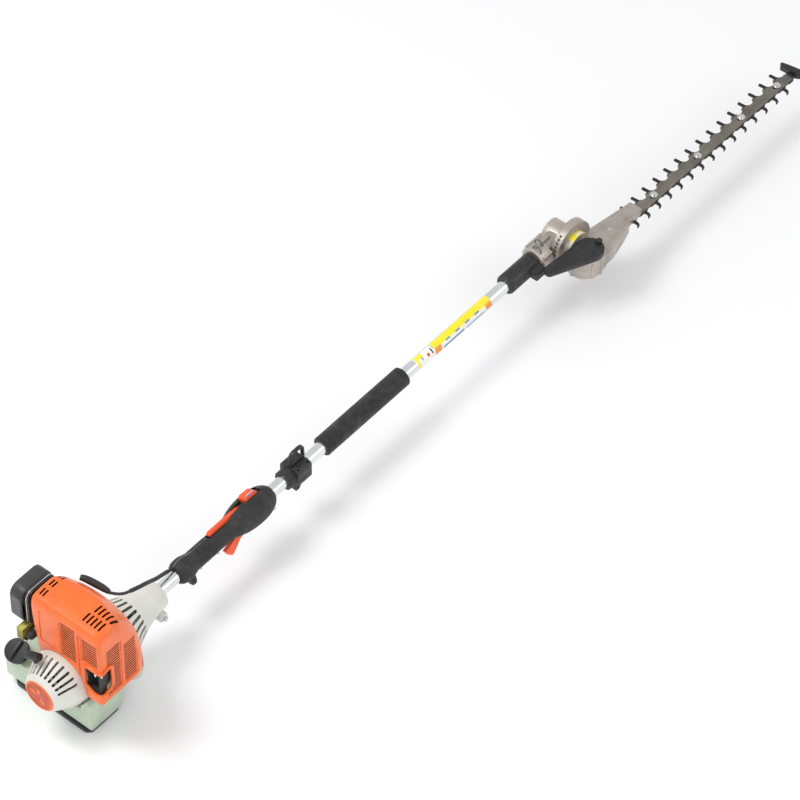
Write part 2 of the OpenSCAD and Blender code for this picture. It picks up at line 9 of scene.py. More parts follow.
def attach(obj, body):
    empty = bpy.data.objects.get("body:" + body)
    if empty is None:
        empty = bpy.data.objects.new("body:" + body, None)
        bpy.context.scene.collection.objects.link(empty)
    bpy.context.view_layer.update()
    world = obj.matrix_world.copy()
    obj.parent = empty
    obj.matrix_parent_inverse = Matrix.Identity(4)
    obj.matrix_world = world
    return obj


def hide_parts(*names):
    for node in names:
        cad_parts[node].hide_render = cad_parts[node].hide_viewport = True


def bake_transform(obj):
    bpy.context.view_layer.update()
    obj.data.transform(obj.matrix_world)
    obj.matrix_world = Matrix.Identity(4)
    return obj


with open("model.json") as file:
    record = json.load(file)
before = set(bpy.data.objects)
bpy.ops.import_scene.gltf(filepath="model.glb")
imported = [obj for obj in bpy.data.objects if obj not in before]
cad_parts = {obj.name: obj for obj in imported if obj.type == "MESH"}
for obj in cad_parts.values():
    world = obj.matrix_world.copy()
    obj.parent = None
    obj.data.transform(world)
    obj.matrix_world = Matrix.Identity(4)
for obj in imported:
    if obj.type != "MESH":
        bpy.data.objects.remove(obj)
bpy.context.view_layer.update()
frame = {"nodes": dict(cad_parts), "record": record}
NODES = frame["nodes"]

MM = 0.001
AXIS_H = 115.0          # height of the shaft axis over the floor, in mm
TUBE_R = 12.7
HANDLE_ROLL = math.radians(-20)
PIVOT_X = 1350.0
BLADE_Y = -60.0

# ------------------------------------------------------------------ camera
cam_data = bpy.data.cameras.new("camera")
cam_data.lens = 225
cam_data.sensor_width = 36
cam_data.clip_end = 60
cam = bpy.data.objects.new("camera", cam_data)
bpy.context.collection.objects.link(cam)
right = Vector((0.64601, -0.76333, 0.0))
up = Vector((0.57199, 0.48408, 0.66220))
back = Vector((-0.50547, -0.42779, 0.74933))
turn = Matrix((right, up, back)).transposed().to_4x4()
cam.matrix_world = Matrix.Translation(Vector((-3.8282, -3.9834, 7.0310))) @ turn
bpy.context.scene.camera = cam
bpy.context.scene.view_settings.view_transform = "Standard"


# ------------------------------------------------------------------ materials
def material(name, color, rough=0.5, metal=0.0, grain=600, bump=0.08, mottle=0.06, wear=0.12,
             stretch=(1, 1, 1), cells=0.0, cell_size=400, **extra):
    """A finish with mottled colour, uneven gloss, fine grain and a little dirt in random blotches."""
    m = bpy.data.materials.new(name)
    m.use_nodes = True
    tree = m.node_tree
    nodes, links = tree.nodes, tree.links
    shader = nodes["Principled BSDF"]
    shader.inputs["Metallic"].default_value = metal
    for key, value in extra.items():
        shader.inputs[key.replace("_", " ")].default_value = value
    coord = nodes.new("ShaderNodeTexCoord")
    mapping = nodes.new("ShaderNodeMapping")
    mapping.inputs["Scale"].default_value = stretch
    links.new(coord.outputs["Object"], mapping.inputs["Vector"])

    def noise(scale, detail, source):
        n = nodes.new("ShaderNodeTexNoise")
        n.inputs["Scale"].default_value = scale
        n.inputs["Detail"].default_value = detail
        links.new(source, n.inputs["Vector"])
        return n.outputs["Fac"]

    broad = noise(22, 4, coord.outputs["Object"])
    fine = noise(grain, 3, mapping.outputs["Vector"])
    blotch = noise(90, 5, mapping.outputs["Vector"])

    def ramp(source, low, high, a, b):
        r = nodes.new("ShaderNodeMapRange")
        r.inputs["From Min"].default_value = low
        r.inputs["From Max"].default_value = high
        r.inputs["To Min"].default_value = a
        r.inputs["To Max"].default_value = b
        links.new(source, r.inputs["Value"])
        return r.outputs["Result"]

    def mix(factor, a, b):
        n = nodes.new("ShaderNodeMix")
        n.data_type = "RGBA"
        links.new(factor, n.inputs["Factor"])
        for value, socket in ((a, n.inputs["A"]), (b, n.inputs["B"])):
            if isinstance(value, tuple):
                socket.default_value = value
            else:
                links.new(value, socket)
        return n.outputs["Result"]

    c = tuple(color) + (1.0,)
    darker = tuple(v * (1 - 2.2 * mottle) for v in color) + (1.0,)
    lighter = tuple(min(1.0, v * (1 + mottle) + 0.12 * mottle) for v in color) + (1.0,)
    base = mix(ramp(broad, 0.35, 0.65, 0, 1), darker, lighter)
    base = mix(ramp(blotch, 0.4, 0.6, 0, 0.6), base, c)
    scuff = tuple(v * 0.55 + 0.20 for v in color) + (1.0,)
    base = mix(ramp(blotch, 0.66, 0.78, 0, wear), base, scuff)
    links.new(base, shader.inputs["Base Color"])
    links.new(ramp(blotch, 0.3, 0.7, max(rough - 0.09, 0.03), min(rough + 0.12, 1)), shader.inputs["Roughness"])
    b = nodes.new("ShaderNodeBump")
    b.inputs["Strength"].default_value = bump
    b.inputs["Distance"].default_value = 0.0006
    links.new(fine, b.inputs["Height"])
    if cells:
        v = nodes.new("ShaderNodeTexVoronoi")
        v.inputs["Scale"].default_value = cell_size
        links.new(coord.outputs["Object"], v.inputs["Vector"])
        b2 = nodes.new("ShaderNodeBump")
        b2.inputs["Strength"].default_value = cells
        b2.inputs["Distance"].default_value = 0.0008
        links.new(v.outputs["Distance"], b2.inputs["Height"])
        links.new(b.outputs["Normal"], b2.inputs["Normal"])
        b = b2
    links.new(b.outputs["Normal"], shader.inputs["Normal"])
    return m


ORANGE = material("orange_shell", (0.90, 0.150, 0.014), 0.32, mottle=0.05, wear=0.08, bump=0.05, Coat_Weight=0.25,
                  Coat_Roughness=0.25)
# a much darker copy of the orange plastic: painted shade for the shell's inside, the louvre slot walls and the exhaust
# window
ORANGE_PAINTED_SHADE = material("orange_painted_shade", (0.11, 0.012, 0.006), 0.6, mottle=0.15, bump=0.1)
ORANGE_DARK = material("orange_badge", (0.55, 0.085, 0.015), 0.42, mottle=0.10, bump=0.10)
TRIM = material("orange_trim", (0.88, 0.09, 0.014), 0.38, mottle=0.06)
PALE = material("pale_shell", (0.70, 0.71, 0.66), 0.42, mottle=0.035, wear=0.10, bump=0.06)
TANK = material("tank_plastic", (0.55, 0.66, 0.52), 0.38, mottle=0.06, bump=0.05, Subsurface_Weight=0.35,
                Subsurface_Scale=0.02, Transmission_Weight=0.12)
BLACK = material("black_plastic", (0.013, 0.013, 0.014), 0.46, mottle=0.10, bump=0.12, wear=0.06)
GREY = material("dark_grey_plastic", (0.034, 0.034, 0.036), 0.44, mottle=0.08, bump=0.10, wear=0.10)
GRIP = material("handle_rubber", (0.016, 0.016, 0.017), 0.62, cells=0.35, cell_size=900, mottle=0.12)
FOAM = material("foam", (0.013, 0.012, 0.012), 0.92, cells=0.9, cell_size=700, mottle=0.25, wear=0.02, bump=0.3,
                grain=1500, Sheen_Weight=0.15)
RUBBER = material("black_rubber", (0.014, 0.014, 0.015), 0.55, mottle=0.12, bump=0.12)
CAST = material("cast_alloy", (0.50, 0.455, 0.41), 0.40, metal=0.8, grain=1400, bump=0.35, mottle=0.10, wear=0.20)
TUBE = material("tube_alloy", (0.80, 0.81, 0.83), 0.20, metal=1.0, grain=500, stretch=(0.04, 1, 1), bump=0.05,
                mottle=0.04, wear=0.15)
CARB = material("carb_metal", (0.40, 0.36, 0.08), 0.42, metal=0.7, grain=1200, bump=0.3, mottle=0.22, wear=0.3)
BLADE = material("blade_steel", (0.20, 0.18, 0.15), 0.38, metal=0.6, grain=900, stretch=(0.05, 1, 1), bump=0.12,
                 mottle=0.16, wear=0.25)
# a much darker copy of the blade steel: painted shade for the lower blade under the upper one
BLADE_PAINTED_SHADE = material("blade_steel_painted_shade", (0.055, 0.053, 0.045), 0.42, metal=0.6, grain=900, stretch=(0.05, 1, 1),
                     bump=0.12, mottle=0.18, wear=0.2)
MID_GREY = material("cover_panel", (0.10, 0.10, 0.10), 0.5, cells=0.3, cell_size=500, mottle=0.10)
BRIGHT = material("bright_steel", (0.70, 0.70, 0.70), 0.26, metal=1.0, grain=900, bump=0.08, mottle=0.06)
DARK = material("dark_steel", (0.12, 0.12, 0.125), 0.42, metal=0.9, grain=900, bump=0.12, mottle=0.14, wear=0.25)
ROPE = material("rope_fibre", (0.70, 0.69, 0.64), 0.8, grain=2500, stretch=(1, 1, 0.3), bump=0.8, mottle=0.15)
FELT = material("filter_felt", (0.68, 0.58, 0.36), 0.95, grain=2500, bump=0.8, mottle=0.2)
CERAMIC = material("ceramic", (0.85, 0.85, 0.82), 0.2, mottle=0.03, bump=0.02)
YELLOW = material("label_yellow", (0.93, 0.80, 0.03), 0.30, mottle=0.04, wear=0.10, bump=0.02)
WHITE = material("label_white", (0.88, 0.88, 0.86), 0.30, mottle=0.03, wear=0.10, bump=0.02)
BLUE = material("label_blue", (0.10, 0.25, 0.42), 0.32, mottle=0.08, bump=0.02)
AMBER = material("label_amber", (0.85, 0.30, 0.05), 0.32, mottle=0.08, bump=0.02)
PURPLE = material("switch_mark", (0.20, 0.12, 0.34), 0.35, mottle=0.06, bump=0.02)
RED = material("label_red", (0.62, 0.04, 0.04), 0.35, mottle=0.06, bump=0.02)

def darken_sides(mat, centre_y, half, shade):
    """Darkens a blade's teeth, beside its plain middle strip."""
    tree = mat.node_tree
    coord = tree.nodes.new("ShaderNodeTexCoord")
    split = tree.nodes.new("ShaderNodeSeparateXYZ")
    tree.links.new(coord.outputs["Object"], split.inputs["Vector"])
    off = tree.nodes.new("ShaderNodeMath")
    off.operation = "SUBTRACT"
    off.inputs[1].default_value = centre_y
    tree.links.new(split.outputs["Y"], off.inputs[0])
    size = tree.nodes.new("ShaderNodeMath")
    size.operation = "ABSOLUTE"
    tree.links.new(off.outputs[0], size.inputs[0])
    edge = tree.nodes.new("ShaderNodeMapRange")
    edge.inputs["From Min"].default_value = half - 0.0008
    edge.inputs["From Max"].default_value = half + 0.0008
    tree.links.new(size.outputs[0], edge.inputs["Value"])
    mix = tree.nodes.new("ShaderNodeMix")
    mix.data_type = "RGBA"
    mix.inputs["B"].default_value = tuple(shade) + (1.0,)
    tree.links.new(edge.outputs["Result"], mix.inputs["Factor"])
    base = tree.nodes["Principled BSDF"].inputs["Base Color"]
    tree.links.new(base.links[0].from_socket, mix.inputs["A"])
    tree.links.new(mix.outputs["Result"], base)


darken_sides(BLADE, BLADE_Y * MM, 0.0125, (0.030, 0.029, 0.024))

FINISH = {
    "orange_shell": ORANGE, "orange_trim": TRIM, "pale_shell": PALE, "tank_plastic": TANK,
    "black_plastic": BLACK, "dark_grey_plastic": GREY, "handle_rubber": GRIP, "foam": FOAM,
    "black_rubber": RUBBER, "cast_alloy": CAST, "tube_alloy": TUBE, "carb_metal": CARB,
    "blade_steel": BLADE, "bright_steel": BRIGHT, "dark_steel": DARK, "rope_fibre": ROPE,
    "filter_felt": FELT, "ceramic": CERAMIC}
SLOT_OF = {s["node"]: s["material_slot"] for s in frame["record"]["subparts"]}
BODY_OF = {n: b for b, names in frame["record"]["behaviour"]["bodies"].items() for n in names}
for node_name, node_object in NODES.items():
    node_object.data.materials.clear()
    node_object.data.materials.append(FINISH[SLOT_OF[node_name]])
# the lower blade takes the darker steel copy as painted shade
NODES["lower_blade"].data.materials[0] = BLADE_PAINTED_SHADE


# ------------------------------------------------------------------ mesh tools, all in mm round the shaft axis
def smooth(obj, angle=35):
    for p in obj.data.polygons:
        p.use_smooth = True
    bpy.context.view_layer.objects.active = obj
    for o in bpy.context.selected_objects:
        o.select_set(False)
    obj.select_set(True)
    bpy.ops.object.shade_smooth_by_angle(angle=math.radians(angle))
    obj.select_set(False)


def new_object(name, verts, faces, mat=None, shift=True):
    mesh = bpy.data.meshes.new(name)
    dz = AXIS_H if shift else 0.0
    mesh.from_pydata([(v[0] * MM, v[1] * MM, (v[2] + dz) * MM) for v in verts], [], faces)
    mesh.update()
    bm = bmesh.new()
    bm.from_mesh(mesh)
    bmesh.ops.remove_doubles(bm, verts=bm.verts, dist=1e-6)
    bmesh.ops.recalc_face_normals(bm, faces=bm.faces)
    bm.to_mesh(mesh)
    bm.free()
    obj = bpy.data.objects.new(name, mesh)
    bpy.context.collection.objects.link(obj)
    if mat is not None:
        mesh.materials.append(mat)
    return obj


def apply_modifiers(obj):
    bpy.context.view_layer.update()
    dg = bpy.context.evaluated_depsgraph_get()
    mesh = bpy.data.meshes.new_from_object(obj.evaluated_get(dg))
    obj.modifiers.clear()
    obj.data = mesh


def cut(obj, cutter, operation="DIFFERENCE", index=0):
    if index:
        while len(cutter.data.materials) <= index:
            cutter.data.materials.append(obj.data.materials[len(cutter.data.materials)])
        for p in cutter.data.polygons:
            p.material_index = index
    m = obj.modifiers.new("cut", "BOOLEAN")
    m.operation = operation
    m.object = cutter
    m.solver = "MANIFOLD"
    apply_modifiers(obj)
    bpy.data.objects.remove(cutter)


def join(objs, name):
    bm = bmesh.new()
    for o in objs:
        o.data.transform(o.matrix_world)
        bm.from_mesh(o.data)
    mesh = bpy.data.meshes.new(name)
    bm.to_mesh(mesh)
    bm.free()
    out = bpy.data.objects.new(name, mesh)
    bpy.context.collection.objects.link(out)
    for o in objs:
        bpy.data.objects.remove(o)
    return out


def spin_points(profile, count=96):
    verts, faces = [], []
    rings = []
    for x, r in profile:
        if r < 1e-6:
            rings.append([len(verts)])
            verts.append((x, 0, 0))
        else:
            start = len(verts)
            for i in range(count):
                a = 2 * math.pi * i / count
                verts.append((x, r * math.cos(a), r * math.sin(a)))
            rings.append(list(range(start, start + count)))
    for a, b in zip(rings, rings[1:]):
        for i in range(count):
            j = (i + 1) % count
            if len(a) == 1 and len(b) > 1:
                faces.append((a[0], b[i], b[j]))
            elif len(b) == 1 and len(a) > 1:
                faces.append((a[i], b[0], a[j]))
            elif len(a) > 1:
                faces.append((a[i], b[i], b[j], a[j]))
    return verts, faces


def lathe(name, profile, mat, y=0.0, z=0.0, count=96):
    """A closed body turned about X from (x, radius) points that start and end on the axis."""
    verts, faces = spin_points(profile, count)
    return new_object(name, [(v[0], v[1] + y, v[2] + z) for v in verts], faces, mat)


def curve_points(points, steps=8):
    """A smooth curve through the given points."""
    p = [np.array(q, float) for q in points]
    p = [2 * p[0] - p[1]] + p + [2 * p[-1] - p[-2]]
    out = []
    for i in range(1, len(p) - 2):
        for k in range(steps):
            f = k / steps
            out.append(0.5 * (2 * p[i] + (p[i + 1] - p[i - 1]) * f
                              + (2 * p[i - 1] - 5 * p[i] + 4 * p[i + 1] - p[i + 2]) * f * f
                              + (3 * p[i] - p[i - 1] - 3 * p[i + 1] + p[i + 2]) * f ** 3))
    out.append(p[-2])
    return out


def sweep(name, points, radius, mat, sides=16, closed=False, squash=None):
    """A round (or flattened) bar along points; radius is a number or one per point."""
    pts = [np.array(q, float) for q in points]
    n = len(pts)
    radii = [radius] * n if np.isscalar(radius) else list(radius)
    verts, faces = [], []
    ref = np.array((0.0, 0.0, 1.0))
    for k in range(n):
        a = pts[k - 1] if (k or closed) else pts[0]
        b = pts[(k + 1) % n] if (k < n - 1 or closed) else pts[-1]
        t = (b - a) / np.linalg.norm(b - a)
        if k == 0:
            if abs(t @ ref) > 0.9:
                ref = np.array((0.0, 1.0, 0.0))
        u = ref - t * (ref @ t)
        u /= np.linalg.norm(u)
        w = np.cross(t, u)
        ref = u
        for j in range(sides):
            ang = 2 * math.pi * j / sides
            s = squash or 1.0
            verts.append(tuple(pts[k] + radii[k] * (math.cos(ang) * u + s * math.sin(ang) * w)))
    loops = n if closed else n - 1
    for k in range(loops):
        for j in range(sides):
            k2, j2 = (k + 1) % n, (j + 1) % sides
            faces.append((k * sides + j, k * sides + j2, k2 * sides + j2, k2 * sides + j))
    if not closed:
        faces.append(tuple(range(sides - 1, -1, -1)))
        faces.append(tuple((n - 1) * sides + j for j in range(sides)))
    return new_object(name, verts, faces, mat)


def prism(name, outline, low, high, axis, mat=None):
    """An outline pushed along an axis: 'x' takes (y, z), 'y' takes (x, z) and 'z' takes (x, y)."""
    def place(a, b, c):
        return {"x": (c, a, b), "y": (a, c, b), "z": (a, b, c)}[axis]
    n = len(outline)
    verts = [place(a, b, low) for a, b in outline] + [place(a, b, high) for a, b in outline]
    faces = [tuple(range(n)), tuple(range(2 * n - 1, n - 1, -1))]
    faces += [(i, (i + 1) % n, (i + 1) % n + n, i + n) for i in range(n)]
    return new_object(name, verts, faces, mat)


def stadium(a0, a1, b0, b1, steps=6):
    """A slot outline with round ends, or a box with round corners."""
    r = min(a1 - a0, b1 - b0) / 2 * 0.98
    return rounded(a0, a1, b0, b1, r, steps)


def rounded(a0, a1, b0, b1, r, steps=6):
    out = []
    for cx, cy, start in ((a1 - r, b1 - r, 0), (a0 + r, b1 - r, 90), (a0 + r, b0 + r, 180), (a1 - r, b0 + r, 270)):
        for i in range(steps + 1):
            t = math.radians(start + 90 * i / steps)
            out.append((cx + r * math.cos(t), cy + r * math.sin(t)))
    return out


def bevel(obj, width, segments=3, angle=32):
    m = obj.modifiers.new("bevel", "BEVEL")
    m.width = width * MM
    m.segments = segments
    m.limit_method = "ANGLE"
    m.angle_limit = math.radians(angle)
    m.use_clamp_overlap = True
    m.harden_normals = False
    apply_modifiers(obj)
    return obj


def finish_piece(obj, body, *replaced, slot=None, angle=35):
    smooth(obj, angle)
    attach(obj, body)
    if replaced:
        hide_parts(*replaced)
    return obj


def soften(node, width=0.8, segments=2, angle=30, name=None):
    """A copy of a CAD node with its edges rounded, in the node's place."""
    src = NODES[node]
    mesh = src.data.copy()
    mesh.transform(src.matrix_world)
    bm = bmesh.new()
    bm.from_mesh(mesh)
    bmesh.ops.remove_doubles(bm, verts=bm.verts, dist=2e-6)
    bmesh.ops.dissolve_limit(bm, angle_limit=math.radians(0.6), verts=bm.verts, edges=bm.edges)
    bm.to_mesh(mesh)
    bm.free()
    obj = bpy.data.objects.new(name or node + "_smooth", mesh)
    bpy.context.collection.objects.link(obj)
    bevel(obj, width, segments, angle)
    return finish_piece(obj, BODY_OF[node], node, slot=SLOT_OF[node], angle=angle)


def rolled(obj):
    """Turns a piece made upright round the shaft into the handle's place."""
    obj.data.transform(Matrix.Translation((0, 0, AXIS_H * MM)) @ Matrix.Rotation(HANDLE_ROLL, 4, "X")
                       @ Matrix.Translation((0, 0, -AXIS_H * MM)))
    return obj


# ------------------------------------------------------------------ engine shroud
SIDE_X = [-46, -42, -35, -12, 12, 34, 52, 64, 70, 76]
SIDE_Z = [154, 160, 170, 175, 177, 173, 161, 145, 131, 112]
TOP_Z = 174
CROWN_Z = 21
ROUND_X = [-60, -10, 20, 40, 58, 74]
ROUND_R = [190, 182, 164, 145, 122, 96]


def smooth_max(a, b, k):
    h = np.maximum(k - np.abs(a - b), 0) / k
    return np.maximum(a, b) + h * h * k / 4


def shroud_field(p, wall=0.0, floor=-8.0):
    x, y, z = p[:, 0], p[:, 1], p[:, 2]
    top_z = np.interp(x, SIDE_X, SIDE_Z)
    slope = (np.interp(x + 4, SIDE_X, SIDE_Z) - np.interp(x - 4, SIDE_X, SIDE_Z)) / 8
    top = (z - top_z) / np.sqrt(1 + slope ** 2)
    big = np.interp(x, ROUND_X, ROUND_R)
    steep = (np.interp(x + 6, ROUND_X, ROUND_R) - np.interp(x - 6, ROUND_X, ROUND_R)) / 12
    drum = (np.hypot(y, z - CROWN_Z) - big) / np.sqrt(1 + steep ** 2)
    left = smooth_max(y - 67, ((y - 67) * 58 - (z - 118) * 9) / 58.7, 6)
    left = smooth_max(left, ((y - 53) * 20 - (z - 24) * 9) / 21.9, 6)
    f = smooth_max(top, drum, 10)
    f = smooth_max(f, z - TOP_Z, 4)
    f = smooth_max(f, -95 - y, 20)
    f = smooth_max(f, left, 10)
    f = smooth_max(f, -42 - x, 7)
    f = smooth_max(f, x - 70, 4)
    return np.maximum(f + wall, floor - z)


def star_mesh(name, field, centre, mat=None, n=84, reach=260):
    """Finds a field's surface along rays from its centre, on a cube grid pushed out to a sphere."""
    t = np.tan(np.linspace(-math.pi / 4, math.pi / 4, n))
    a, b = np.meshgrid(t, t, indexing="ij")
    one = np.ones_like(a)
    verts, faces = [], []
    for d in ((one, a, b), (-one, b, a), (b, one, a), (a, -one, b), (a, b, one), (b, a, -one)):
        v = np.stack([c.ravel() for c in d], 1)
        v /= np.linalg.norm(v, axis=1, keepdims=True)
        lo, hi = np.zeros(len(v)), np.full(len(v), float(reach))
        for _ in range(36):
            mid = (lo + hi) / 2
            inside = field(centre + v * mid[:, None]) < 0
            lo = np.where(inside, mid, lo)
            hi = np.where(inside, hi, mid)
        start = len(verts)
        verts += [tuple(q) for q in (centre + v * lo[:, None])]
        idx = start + np.arange(n * n).reshape(n, n)
        faces += [(int(idx[i, j]), int(idx[i + 1, j]), int(idx[i + 1, j + 1]), int(idx[i, j + 1]))
                  for i in range(n - 1) for j in range(n - 1)]
    obj = new_object(name, verts, faces, mat)
    bm = bmesh.new()
    bm.from_mesh(obj.data)
    bmesh.ops.remove_doubles(bm, verts=bm.verts, dist=2e-5)
    bmesh.ops.recalc_face_normals(bm, faces=bm.faces)
    bm.to_mesh(obj.data)
    bm.free()
    return obj


shroud_centre = np.array((12.0, -12.0, 62.0))
shroud = star_mesh("shroud_shell", lambda p: shroud_field(p), shroud_centre, ORANGE, 110)
# shallow panels that hold the louvres
# second slot: the darker orange, painted shade for the hollow inside and the walls of cut slots
shroud.data.materials.append(ORANGE_PAINTED_SHADE)
panels = [
    prism("c", rounded(-41, -1, 60, 156, 4), -60, -40.9, "x"),
    prism("c", rounded(-92, -51, 87, 156, 4), -60, -40.9, "x"),
    prism("c", rounded(8, 47, 66, 148, 5), -60, -40.7, "x"),
    prism("c", rounded(-26, 14, 2, 126, 4), -120, -93.9, "y"),
    prism("c", rounded(18, 54, 0, 108, 4), -120, -93.9, "y"),
    prism("c", rounded(-48.4, -44.6, 30, 150, 1.5), -60, -40.4, "x")]
for panel in panels:
    cut(shroud, panel)
# hollows the shell; its inside faces get the darker orange as painted shade
cut(shroud, star_mesh("c", lambda p: shroud_field(p, 3.0, -30.0), shroud_centre, None, 60), index=1)
cutters = [lathe("c", [(-60, 0), (-60, 59), (-20, 59), (-20, 0)], None)]
for cutter in cutters:
    cut(shroud, cutter)
cut(shroud, lathe("c", [(60, 0), (60, 88), (80, 88), (80, 0)], None, count=128))
cut(shroud, prism("c", rounded(-32, 32, 40, 112, 10), 50, 80, "y"))
louvres = []
louvres += [prism("c", stadium(-38, -4, 67 + 5.9 * i, 70 + 5.9 * i), -60, -30, "x") for i in range(15)]
louvres += [prism("c", stadium(-89, -54, 92 + 6.4 * i, 95 + 6.4 * i), -60, -30, "x") for i in range(9)]
louvres += [prism("c", stadium(-22, 11, 6 + 6.2 * i, 9 + 6.2 * i), -110, -84, "y") for i in range(19)]
louvres += [prism("c", stadium(21, 51, 5 + 6.2 * i, 8 + 6.2 * i), -110, -74, "y") for i in range(16)]
louvres += [prism("c", stadium(-24 + 26 * j, -3 + 26 * j, -45 - 9 * i - 4 * j, -41 - 9 * i - 4 * j), 105, 190, "z")
            for i in range(5) for j in range(2)]
louvres += [prism("c", stadium(-28 + 24 * j, -12 + 24 * j, 46 + 7 * i, 49.6 + 7 * i), 120, 190, "z")
            for i in range(2) for j in range(3)]
# the louvre slot walls and the exhaust window walls get the darker orange as painted shade
cut(shroud, join(louvres, "c"), index=1)
cut(shroud, prism("c", rounded(-118, -57, 20, 80, 12), -60, -11, "x"), index=1)
finish_piece(shroud, "frame", "engine_shroud", slot="orange_shell", angle=32)

# the rim round the exhaust window turns the rear right corner
rim = [(-42.3, -60, 26), (-42.3, -57.5, 36), (-42.3, -57.5, 70), (-42.3, -62, 79), (-42.3, -80, 80), (-41, -92, 78),
       (-36, -95.3, 77), (-20, -95.3, 80), (-13, -95.3, 76), (-11.5, -95.3, 66), (-11.5, -95.3, 34),
       (-16, -95.3, 23), (-34, -95.0, 15), (-41, -91, 13), (-42.3, -80, 15)]
finish_piece(sweep("exhaust_rim", curve_points(rim + rim[:1], 5)[:-1], 3.6, ORANGE, 12, closed=True), "frame",
             slot="orange_shell")
for k, (py, px) in enumerate(((-82, -40.5), (-92.8, -36))):
    prong = lathe(f"exhaust_prong_{k}", [(0, 0), (0, 1.2), (5, 1.9), (13, 2.2), (13.6, 1.4), (13.6, 0)], WHITE, count=20)
    prong.data.transform(Matrix.Translation((px * MM, py * MM, (AXIS_H + 64) * MM)) @ Matrix.Rotation(-math.pi / 2, 4, "Y")
                         @ Matrix.Translation((0, 0, -AXIS_H * MM)))
    finish_piece(prong, "frame", slot="ceramic")

# ------------------------------------------------------------------ starter cover and its badge
cover_outer = [(-100, 0), (-100, 33.5), (-99.4, 35), (-97, 36.6)] + [
    (x, r) for x, r in curve_points([(-97, 36.6), (-88, 41.8), (-78, 46.8), (-68, 51.8), (-60, 55.4), (-50, 57.6),
                                      (-40, 57.9)], 5)] + [(-38, 57.8), (-38, 0)]
cover = lathe("starter_shell", cover_outer, PALE, count=128)
cover_inner = [(-97, 0), (-97, 32.8)] + [(x, r) for x, r in curve_points(
    [(-96, 34), (-86, 39.4), (-77, 44), (-61, 52.2), (-50, 55), (-36, 55.2)], 4)] + [(-36, 0)]
cut(cover, lathe("c", cover_inner, None, count=96))
slots = []
for k in range(17):
    s = prism("c", stadium(-90, -53, -2.5, 2.5), 30, 72, "z")
    s.data.transform(Matrix.Translation((0, 0, AXIS_H * MM)) @ Matrix.Rotation(math.radians(13.5 * k - 156), 4, "X")
                     @ Matrix.Translation((0, 0, -AXIS_H * MM)))
    slots.append(s)
cut(cover, join(slots, "c"))
finish_piece(cover, "frame", "starter_cover", slot="pale_shell", angle=38)
badge = lathe("badge_disc", [(-99.6, 0), (-99.6, 31.5), (-100.6, 31.3), (-101.3, 30.4), (-101.4, 28.4), (-100.7, 27.6),
                             (-101.2, 20), (-101.5, 10), (-101.6, 0)], ORANGE_DARK, count=96)
finish_piece(badge, "frame", "starter_badge", slot="orange_trim", angle=50)
ring = lathe("badge_ring", [(-99.8, 28.6), (-101.2, 29.0), (-101.9, 30.0), (-101.9, 31.6), (-101, 32.9), (-99.6, 33.1),
                            (-99.8, 28.6)], ORANGE, count=96)
finish_piece(ring, "frame", slot="orange_shell", angle=50)
for k in range(5):
    leaf = prism(f"badge_leaf_{k}", [(0, 4), (3.6, 10), (3.2, 17), (0, 22.5), (-3.2, 17), (-3.6, 10)], -101.9, -100.6, "x",
                 RED if k % 2 else ORANGE)
    leaf.data.transform(Matrix.Translation((0, 0, AXIS_H * MM)) @ Matrix.Rotation(math.radians(72 * k), 4, "X")
                        @ Matrix.Translation((0, 0, -AXIS_H * MM)))
    bevel(leaf, 0.5, 2)
    finish_piece(leaf, "frame", slot="orange_trim")

# ------------------------------------------------------------------ clutch housing
cone = lathe("cone_shell", [(62, 0), (62, 87.3), (70.2, 87.3), (70.2, 92.4), (71.5, 93), (73, 92.2)] + [
    (x, r) for x, r in curve_points([(74, 89.5), (79, 80), (85, 71.5), (92, 64.5), (100, 58.5), (112, 51.8),
                                      (127, 46), (145, 39.5), (162, 35), (178, 32.5), (192, 31), (202, 29.7)], 4)]
    + [(204.8, 29), (206, 27), (206, 0)], PALE, count=128)
cut(cone, lathe("c", [(60, 0), (60, 84.5), (70, 84.5), (84, 68), (100, 55), (127, 43), (145, 36), (150, 30), (150, 0)],
                None))
cut(cone, lathe("c", [(140, 0), (140, 12.75), (220, 12.75), (220, 0)], None))
vents = []
for a in range(-120, 121, 15):
    s = prism("c", stadium(91, 131, -3, 3), 30, 84, "z")
    s.data.transform(Matrix.Translation((0, 0, AXIS_H * MM)) @ Matrix.Rotation(math.radians(a), 4, "X")
                     @ Matrix.Translation((0, 0, -AXIS_H * MM)))
    vents.append(s)
cut(cone, join(vents, "c"))
cut(cone, prism("c", rounded(62, 140, -120, 120, 2), 40, 110, "x"))
cut(cone, prism("c", rounded(-120, 120, -130, -70, 2), 40, 110, "x"))
finish_piece(cone, "frame", "clutch_housing", slot="pale_shell", angle=38)
lug = prism("cone_lug", rounded(180, 198, -37, -22, 3), -33, 10, "y", PALE)
bevel(lug, 1.5, 3)
finish_piece(lug, "frame", slot="pale_shell")
collar = lathe("cone_collar", [(150, 12.9), (206, 12.9), (207.5, 13.4), (208, 14.6), (207.6, 18), (206, 20.5),
                               (204, 21), (150, 12.9)], DARK, count=64)
finish_piece(collar, "frame", slot="dark_steel", angle=50)

